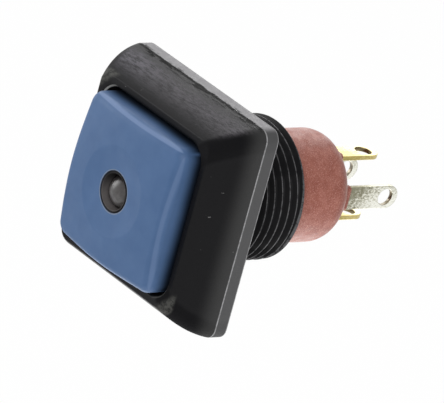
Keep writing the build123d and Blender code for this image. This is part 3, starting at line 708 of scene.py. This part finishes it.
# Outside of the cap: the hole's edge, rings over the dish and its rim, rows that turn from that circle to the
# bowed square, a quarter circle round the square's edge, and the sides.
def capOutside(c):
    hole = softCorners([(c["hole"], c["roof"]), (c["hole"], faceDepth(c, c["hole"])),
                        (c["holeEdgeTo"], faceDepth(c, c["holeEdgeTo"]))], [c["holeRound"]])
    rings = np.concatenate([np.linspace(*c["dishRows"]), np.linspace(*c["rimRows"])])[:, None]
    circle = c["rimRows"][1]
    share = np.linspace(*c["outerRows"])[:, None]
    flatHalf, flatCorner = c["half"] - c["edgeRound"], c["corner"] - c["edgeRound"]
    outer = squareReach(squareAngle, circle + share * (flatHalf - circle),
                        circle + share * (flatCorner - circle), share * c["bow"])
    turn = np.radians(np.linspace(*c["edgeRows"]))[:, None]
    edge = squareReach(squareAngle, flatHalf + c["edgeRound"] * np.sin(turn),
                       flatCorner + c["edgeRound"] * np.sin(turn), c["bow"])
    edgeDepth = faceDepth(c, edge) + c["edgeRound"] * (1 - np.cos(turn))
    sideShare = np.array(c["sideRows"])[:, None]
    sideDepth = edgeDepth[-1] + sideShare * (c["skirt"] - edgeDepth[-1])
    return np.vstack([
        squareRows(np.column_stack([hole, hole[:, 0]])),
        roundAxis(squareAngle, rings + 0 * squareAngle, faceDepth(c, rings)),
        roundAxis(squareAngle, outer, faceDepth(c, outer)),
        roundAxis(squareAngle, edge, edgeDepth),
        roundAxis(squareAngle, edge[-1] + 0 * sideShare, sideDepth),
    ])


# Inside of the cap, a profile in straight steps: skirt, roof, the socket with its snap groove, and the hole.
def capInside(c):
    inner, outer, groove = c["half"] - c["wall"], c["socket"] + c["socketWall"], c["socket"] + c["snapCut"]
    snapFront, snapRear = c["snapDepth"] - c["snapHalf"], c["snapDepth"] + c["snapHalf"]
    profile = softCorners(
        [(c["half"], c["sideEnd"], c["corner"]), (c["half"], c["skirt"], c["corner"]),
         (inner, c["skirt"], c["innerCorner"]), (inner, c["roof"], c["innerCorner"]),
         (outer, c["roof"], outer), (outer, c["socketRear"], outer),
         (c["socket"], c["socketRear"], c["socket"]), (c["socket"], snapRear, c["socket"]),
         (groove, snapRear, groove), (groove, snapFront, groove),
         (c["socket"], snapFront, c["socket"]), (c["socket"], c["roof"], c["socket"]),
         (c["hole"], c["roof"], c["hole"]), (c["hole"], c["holeSeam"], c["hole"])],
        [c["skirtRound"], c["lipRound"], c["skirtRound"], c["skirtRound"], c["socketRound"], c["socketRound"]]
        + [c["snapRound"]] * 4 + [c["socketRound"], c["innerHoleRound"]])
    outsideRows = 6  # the rows of the skirt's outer corner are bowed as the sides are
    bow = np.where(np.arange(len(profile)) < outsideRows, c["bow"], 0.0)[:, None]
    return squareRows(profile, bow)


capSkin = np.vstack([capOutside(cap), capInside(cap)])
makePiece("cap_shell", [(capSkin, "loop")], "button", "blue_plastic", ["button_cap"])

# Base, with a collar round each terminal. A collar row is its shrink and its distance before the tip.
base = {
    "outer": 4.67, "inner": 3.9, "front": 3.6, "rear": 14.2, "rearRound": 1.95, "rearRows": 15, "floor": 13.0,
    "gasket": 4.9, "gasketHalf": 0.28, "gasketCut": 0.46, "snap": 6.3, "snapHalf": 0.3, "snapRise": 0.15,
    "middle": 0.3, "sideEnd": 10.0, "rearRing": 1.6,
    "floorRound": 0.1, "innerRound": 0.05, "frontRound": 0.08, "grooveRound": 0.03, "grooveFoot": 0.05,
    "snapRound": 0.03,
    "collarAt": 2.7, "collarDepth": 0.4, "collarWidth": 1.1, "collarCorner": 0.38, "collarTip": 14.95,
    "collarFeet": (13.6, 14.3), "collarRows": ((0.0, 0.14), (0.03, 0.05), (0.11, 0.0), (0.2, 0.0)),
    "collarSharp": 0.05, "cornerSteps": 8,
}


# The base itself, a closed profile round the axis: floor, inner wall, front edge, gasket groove, snap ridge,
# the large round at the rear as a quarter circle, and the flat rear.
def baseGrid(b):
    turn = np.radians(np.linspace(0, 90, b["rearRows"]))
    rearArc = np.stack([b["outer"] - b["rearRound"] * (1 - np.cos(turn)),
                        b["rear"] - b["rearRound"] * (1 - np.sin(turn))], -1)
    grooveFront, grooveRear = b["gasket"] - b["gasketHalf"], b["gasket"] + b["gasketHalf"]
    grooveFloor, ridgeTop = b["outer"] - b["gasketCut"], b["outer"] + b["snapRise"]
    wall = softCorners(
        [(b["middle"], b["floor"]), (b["inner"], b["floor"]), (b["inner"], b["front"]),
         (b["outer"], b["front"]), (b["outer"], grooveFront), (grooveFloor, grooveFront),
         (grooveFloor, grooveRear), (b["outer"], grooveRear),
         (b["outer"], b["snap"] - b["snapHalf"]), (ridgeTop, b["snap"] - b["snapHalf"] / 2),
         (ridgeTop, b["snap"] + b["snapHalf"] / 2), (b["outer"], b["snap"] + b["snapHalf"]),
         (b["outer"], b["sideEnd"])],
        [b["floorRound"], b["innerRound"], b["frontRound"], b["grooveRound"], b["grooveFoot"],
         b["grooveFoot"], b["grooveRound"]] + [b["snapRound"]] * 4)
    rear = [(b["rearRing"], b["rear"]), (b["middle"], b["rear"])]
    return roundRows(np.vstack([[(b["middle"], b["floor"])], wall, rearArc, rear]))


# Outline of a rounded rectangle, point by point: the centre of a corner plus that corner's circle.
def rectangleLoop(halfAcross, halfAlong, corner, steps):
    turn = np.linspace(0, np.pi / 2, steps)
    across = np.concatenate([side * (halfAcross - corner) + corner * np.cos(turn + k * np.pi / 2)
                             for k, side in enumerate((1, -1, -1, 1))])
    along = np.concatenate([side * (halfAlong - corner) + corner * np.sin(turn + k * np.pi / 2)
                            for k, side in enumerate((1, 1, -1, -1))])
    return across, along


# One collar: rounded rectangles at growing depths that shrink round the tip, moved out from the axis and
# turned round it by quarters.
def collarGrid(b, quarter):
    rows = [(0.0, foot) for foot in b["collarFeet"]]
    rows += [(shrink, b["collarTip"] - before) for shrink, before in b["collarRows"]]
    cosine, sine = np.cos(quarter * np.pi / 2), np.sin(quarter * np.pi / 2)
    grid = []
    for shrink, depth in rows:
        across, along = rectangleLoop(b["collarDepth"] - shrink, b["collarWidth"] - shrink,
                                      max(b["collarCorner"] - shrink, b["collarSharp"]), b["cornerSteps"])
        out = b["collarAt"] + across
        grid.append(np.stack([out * cosine - along * sine, np.full_like(out, depth),
                              out * sine + along * cosine], -1))
    return np.array(grid)


baseSkins = [(baseGrid(base), "middles")] + [(collarGrid(base, quarter), "middles") for quarter in range(4)]
makePiece("base_shell", baseSkins, "housing", "red_thermoset", ["base"])

# Terminals: what all four strips share, then the gold pair's pads and the silver pair's leaves.
terminal = {"half": 1.0, "thick": 0.4, "hole": 0.72, "holeInset": 1.3, "edge": 0.05, "edgeMiddle": 0.3,
            "at": 2.7, "columns": 120, "endRays": 0.35}
gold = {"tip": 19.15, "top": 10.2, "padFront": 9.75, "padReach": 3.75, "padHalf": 0.85, "bendHalf": 0.98,
        "bendRise": 1.6, "bendNormal": (0.707, 0.707), "stem": 1.2}
silver = {"tip": 20.2, "top": 12.4, "leafAt": 1.28, "leafFront": 5.0, "leafHalf": 0.225, "leafThick": 0.125,
          "leafEndInset": 0.02, "leafBend": 0.12, "bendNormal": (0.383, -0.924)}


# A strip with a round end and a round hole, as rays from the hole's centre: each ray ends on the side, on the
# round end or on the square end. The section runs round hole wall, face, edge and back face. A row says
# whether it lies on the outline or on the hole, how far it shrinks or widens, and its height.
def stripGrid(t, tip, top):
    turn = np.linspace(0, 2 * np.pi, t["columns"], endpoint=False)
    turn = turn + t["endRays"] * np.sin(2 * turn)  # more rays towards the strip's two ends
    cosine, sine = np.cos(turn), np.sin(turn)
    centre = tip - t["holeInset"]
    bulge = t["holeInset"] - t["half"]
    e, h = t["edge"], t["thick"] / 2
    i = e * t["edgeMiddle"]
    rows = [(0, 0, h - e), (0, i, h - i), (0, e, h), (0, e * 2, h),
            (1, e * 2, h), (1, e, h), (1, i, h - i), (1, 0, h - e),
            (1, 0, e - h), (1, i, i - h), (1, e, -h), (1, e * 2, -h),
            (0, e * 2, -h), (0, e, -h), (0, i, i - h), (0, 0, e - h)]
    grid = []
    for outer, shrink, height in rows:
        half = t["half"] - shrink
        side = half / np.maximum(np.abs(sine), tiny)
        arc = bulge * cosine + np.sqrt(np.maximum(half**2 - (bulge * sine) ** 2, 0))
        square = (centre - top - shrink) / np.maximum(-cosine, tiny)
        reach = np.where(side * cosine > bulge, arc, np.where(cosine < 0, np.minimum(side, square), side))
        reach = reach if outer else np.full_like(turn, t["hole"] + shrink)
        grid.append(np.stack([reach * sine, centre + reach * cosine, np.full_like(turn, height)], -1))
    return np.array(grid)


# A flat bar carried along a bent path: at each station a loop of four section points, from the bar's
# half-width across and its half-thickness along the station's normal. A station is a point (out, along), a
# normal, the half-width and the half-thickness.
def barGrid(stations):
    path, normal = np.array([s[0] for s in stations]), np.array([s[1] for s in stations], float)
    wide, half = np.array([s[2] for s in stations]), np.array([s[3] for s in stations])
    loop = np.array([(-1, -1), (1, -1), (1, 1), (-1, 1)])
    across = wide[:, None] * loop[:, 0]
    place = path[:, None, :] + (half[:, None] * loop[:, 1])[..., None] * normal[:, None, :]
    return np.stack([across, place[..., 1], place[..., 0]], -1)


# A gold terminal's contact pad: it runs in towards the axis and bends rearwards into the strip.
def padGrid(t, g):
    h, front = t["thick"] / 2, g["padFront"]
    return barGrid([((g["padReach"], front + h), (0, 1), g["padHalf"], h),
                    ((t["at"] + h, front + h), (0, 1), g["padHalf"], h),
                    ((t["at"], front + h * g["bendRise"]), g["bendNormal"], g["bendHalf"], h),
                    ((t["at"], front + g["stem"]), (1, 0), g["bendHalf"], h)])


# A silver terminal's leaf: it runs rearwards beside the lamp's lead and bends out to the strip.
def leafGrid(t, s):
    half, thick = s["leafHalf"], s["leafThick"]
    return barGrid([((s["leafAt"], s["leafFront"]), (1, 0), half, thick),
                    ((s["leafAt"], s["top"] - s["leafEndInset"]), (1, 0), half, thick),
                    ((s["leafAt"] + s["leafBend"], s["top"] + thick), s["bendNormal"], half, thick),
                    ((t["at"], s["top"] + thick), (0, -1), half, thick)])


# The gold pair stands above and below the axis, the silver pair to its right and left.
for side, where in ((1, "top"), (-1, "bottom")):
    strip = stripGrid(terminal, gold["tip"], gold["top"]) * (1, 1, side) + (0, 0, side * terminal["at"])
    pad = padGrid(terminal, gold) * (1, 1, side)
    makePiece("contact_blade_" + where, [(strip, "loop"), (pad, "middles")], "housing", "gold_plate",
              ["contact_terminal_" + where])
for side, where in ((1, "right"), (-1, "left")):
    strip = stripGrid(terminal, silver["tip"], silver["top"]) * (1, 1, side) + (0, 0, side * terminal["at"])
    leaf = leafGrid(terminal, silver) * (1, 1, side)
    makePiece("lamp_blade_" + where, [(strip[..., ::-1], "loop"), (leaf[..., ::-1], "middles")], "housing",
              "silver_plate", ["lamp_terminal_" + where])

# Lamp lens
lens = {"radius": 1.5, "tip": -7.42, "domeRows": (4, 90, 24), "side": -4.0, "middle": 0.2,
        "flange": 1.9, "flangeFront": -2.87, "rear": -2.07, "flat": -1.65, "neckRound": 0.08,
        "flangeRound": 0.05}


# The lens round the axis: a half-sphere tip, the side, and a flange that is cut flat on the left.
def lensGrid(s):
    turn = np.radians(np.linspace(*s["domeRows"]))
    dome = np.stack([s["radius"] * np.sin(turn), s["tip"] + s["radius"] * (1 - np.cos(turn))], -1)
    foot = softCorners(
        [(s["radius"], s["side"]), (s["radius"], s["flangeFront"]), (s["flange"], s["flangeFront"]),
         (s["flange"], s["rear"]), (s["middle"], s["rear"])],
        [s["neckRound"], s["flangeRound"], s["flangeRound"]])
    grid = roundRows(np.vstack([dome, foot, [(s["middle"], s["rear"])]]))
    grid[..., 0] = np.maximum(grid[..., 0], s["flat"])
    return grid


makePiece("lens_body", [(lensGrid(lens), "middles")], "button", "clear_resin", ["lamp_lens"])

# Return spring. It rests on its anchor and keeps this share of its length when the button is pressed.
spring = {"radius": 2.24, "wire": 0.14, "front": 8.06, "rear": 11.44, "turns": 5.5, "flatShare": 0.12,
          "steps": 420, "wireSteps": 16, "anchor": 11.6, "keep": 0.594}


# A round wire carried along a helix: its middle turns evenly, and climbs evenly except in the flat coil at
# each end, and its section is a circle.
def springGrid(s):
    share = np.linspace(0, 1, s["steps"])[:, None]
    turn = 2 * np.pi * s["turns"] * share
    lead = np.clip((share - s["flatShare"]) / (1 - 2 * s["flatShare"]), 0, 1)
    climb = s["front"] + (s["rear"] - s["front"]) * lead
    wireTurn = np.linspace(0, 2 * np.pi, s["wireSteps"], endpoint=False)[None, :]
    return roundAxis(turn, s["radius"] + s["wire"] * np.cos(wireTurn), climb + s["wire"] * np.sin(wireTurn))


coil = makePiece("spring_coil", [(springGrid(spring), "middles")], "housing", "steel", ["return_spring"])
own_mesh(coil)

# Floor, surroundings and lamps, in metres and watts.
stage = {"drop": -0.10, "reach": 1.6, "shade": 0.92, "whiteShare": 0.98,
         "surroundLight": 0.10, "surroundSeen": 1.0}
lamps = {
    "key": {"place": (-0.25, 0.17, 0.20), "size": 0.38, "power": 0.84},
    "fill": {"place": (-0.245, -0.155, 0.07), "size": 0.20, "power": 0.50},
    "side": {"place": (0.195, -0.175, 0.16), "size": 0.15, "power": 0.62},
    "bounce": {"place": (0.0, 0.02, -0.09), "size": 0.14, "power": 0.12},
}
floorMesh = bpy.data.meshes.new("floor")
edgeAt, floorAt = stage["reach"], stage["drop"]
floorMesh.from_pydata([(-edgeAt, -edgeAt, floorAt), (edgeAt, -edgeAt, floorAt), (edgeAt, edgeAt, floorAt),
                       (-edgeAt, edgeAt, floorAt)], [], [(0, 1, 2, 3)])
floor = bpy.data.objects.new("floor", floorMesh)
scene.collection.objects.link(floor)


# One where the ray comes from the camera, a mirror surface or glass, so that these see a white surrounding.
def seenDirectly(tree):
    path = addNode(tree, "ShaderNodeLightPath")
    either = addNode(tree, "ShaderNodeMath", operation="MAXIMUM")
    anyOfThem = addNode(tree, "ShaderNodeMath", operation="MAXIMUM")
    tree.links.new(path.outputs["Is Camera Ray"], either.inputs[0])
    tree.links.new(path.outputs["Is Glossy Ray"], either.inputs[1])
    tree.links.new(either.outputs[0], anyOfThem.inputs[0])
    tree.links.new(path.outputs["Is Transmission Ray"], anyOfThem.inputs[1])
    return anyOfThem.outputs[0]


# Pale and matt, so that it takes the shadow, and nearly white by itself where it is seen.
def floorFinish():
    material = bpy.data.materials.new("floor")
    material.use_nodes = True
    tree = material.node_tree
    tree.nodes.clear()
    plain = addNode(tree, "ShaderNodeBsdfDiffuse")
    plain.inputs["Color"].default_value = (stage["shade"],) * 3 + (1,)
    glow = addNode(tree, "ShaderNodeEmission")
    glow.inputs["Strength"].default_value = 1.0
    share = addNode(tree, "ShaderNodeMath", operation="MULTIPLY")
    share.inputs[1].default_value = stage["whiteShare"]
    mix = addNode(tree, "ShaderNodeMixShader")
    out = addNode(tree, "ShaderNodeOutputMaterial")
    tree.links.new(seenDirectly(tree), share.inputs[0])
    tree.links.new(share.outputs[0], mix.inputs[0])
    tree.links.new(plain.outputs[0], mix.inputs[1])
    tree.links.new(glow.outputs[0], mix.inputs[2])
    tree.links.new(mix.outputs[0], out.inputs["Surface"])
    return material


floorMesh.materials.append(floorFinish())
world = bpy.data.worlds.new("world")
scene.world = world
world.use_nodes = True
background = world.node_tree.nodes["Background"]
background.inputs["Color"].default_value = (1.0, 1.0, 1.0, 1.0)
level = addNode(world.node_tree, "ShaderNodeMapRange")
level.inputs["To Min"].default_value = stage["surroundLight"]  # the light that the surroundings give
level.inputs["To Max"].default_value = stage["surroundSeen"]  # how white they look
world.node_tree.links.new(seenDirectly(world.node_tree), level.inputs["Value"])
world.node_tree.links.new(level.outputs["Result"], background.inputs["Strength"])

for name, spec in lamps.items():
    data = bpy.data.lights.new(name, "AREA")
    data.size = spec["size"]
    data.energy = spec["power"]
    lamp = bpy.data.objects.new(name, data)
    lamp.location = spec["place"]
    lamp.visible_camera = False
    lamp.rotation_mode = "QUATERNION"
    lamp.rotation_quaternion = lamp.location.to_track_quat("Z", "Y")
    scene.collection.objects.link(lamp)
scene.view_settings.view_transform = "Standard"
print("stage and lamps set")
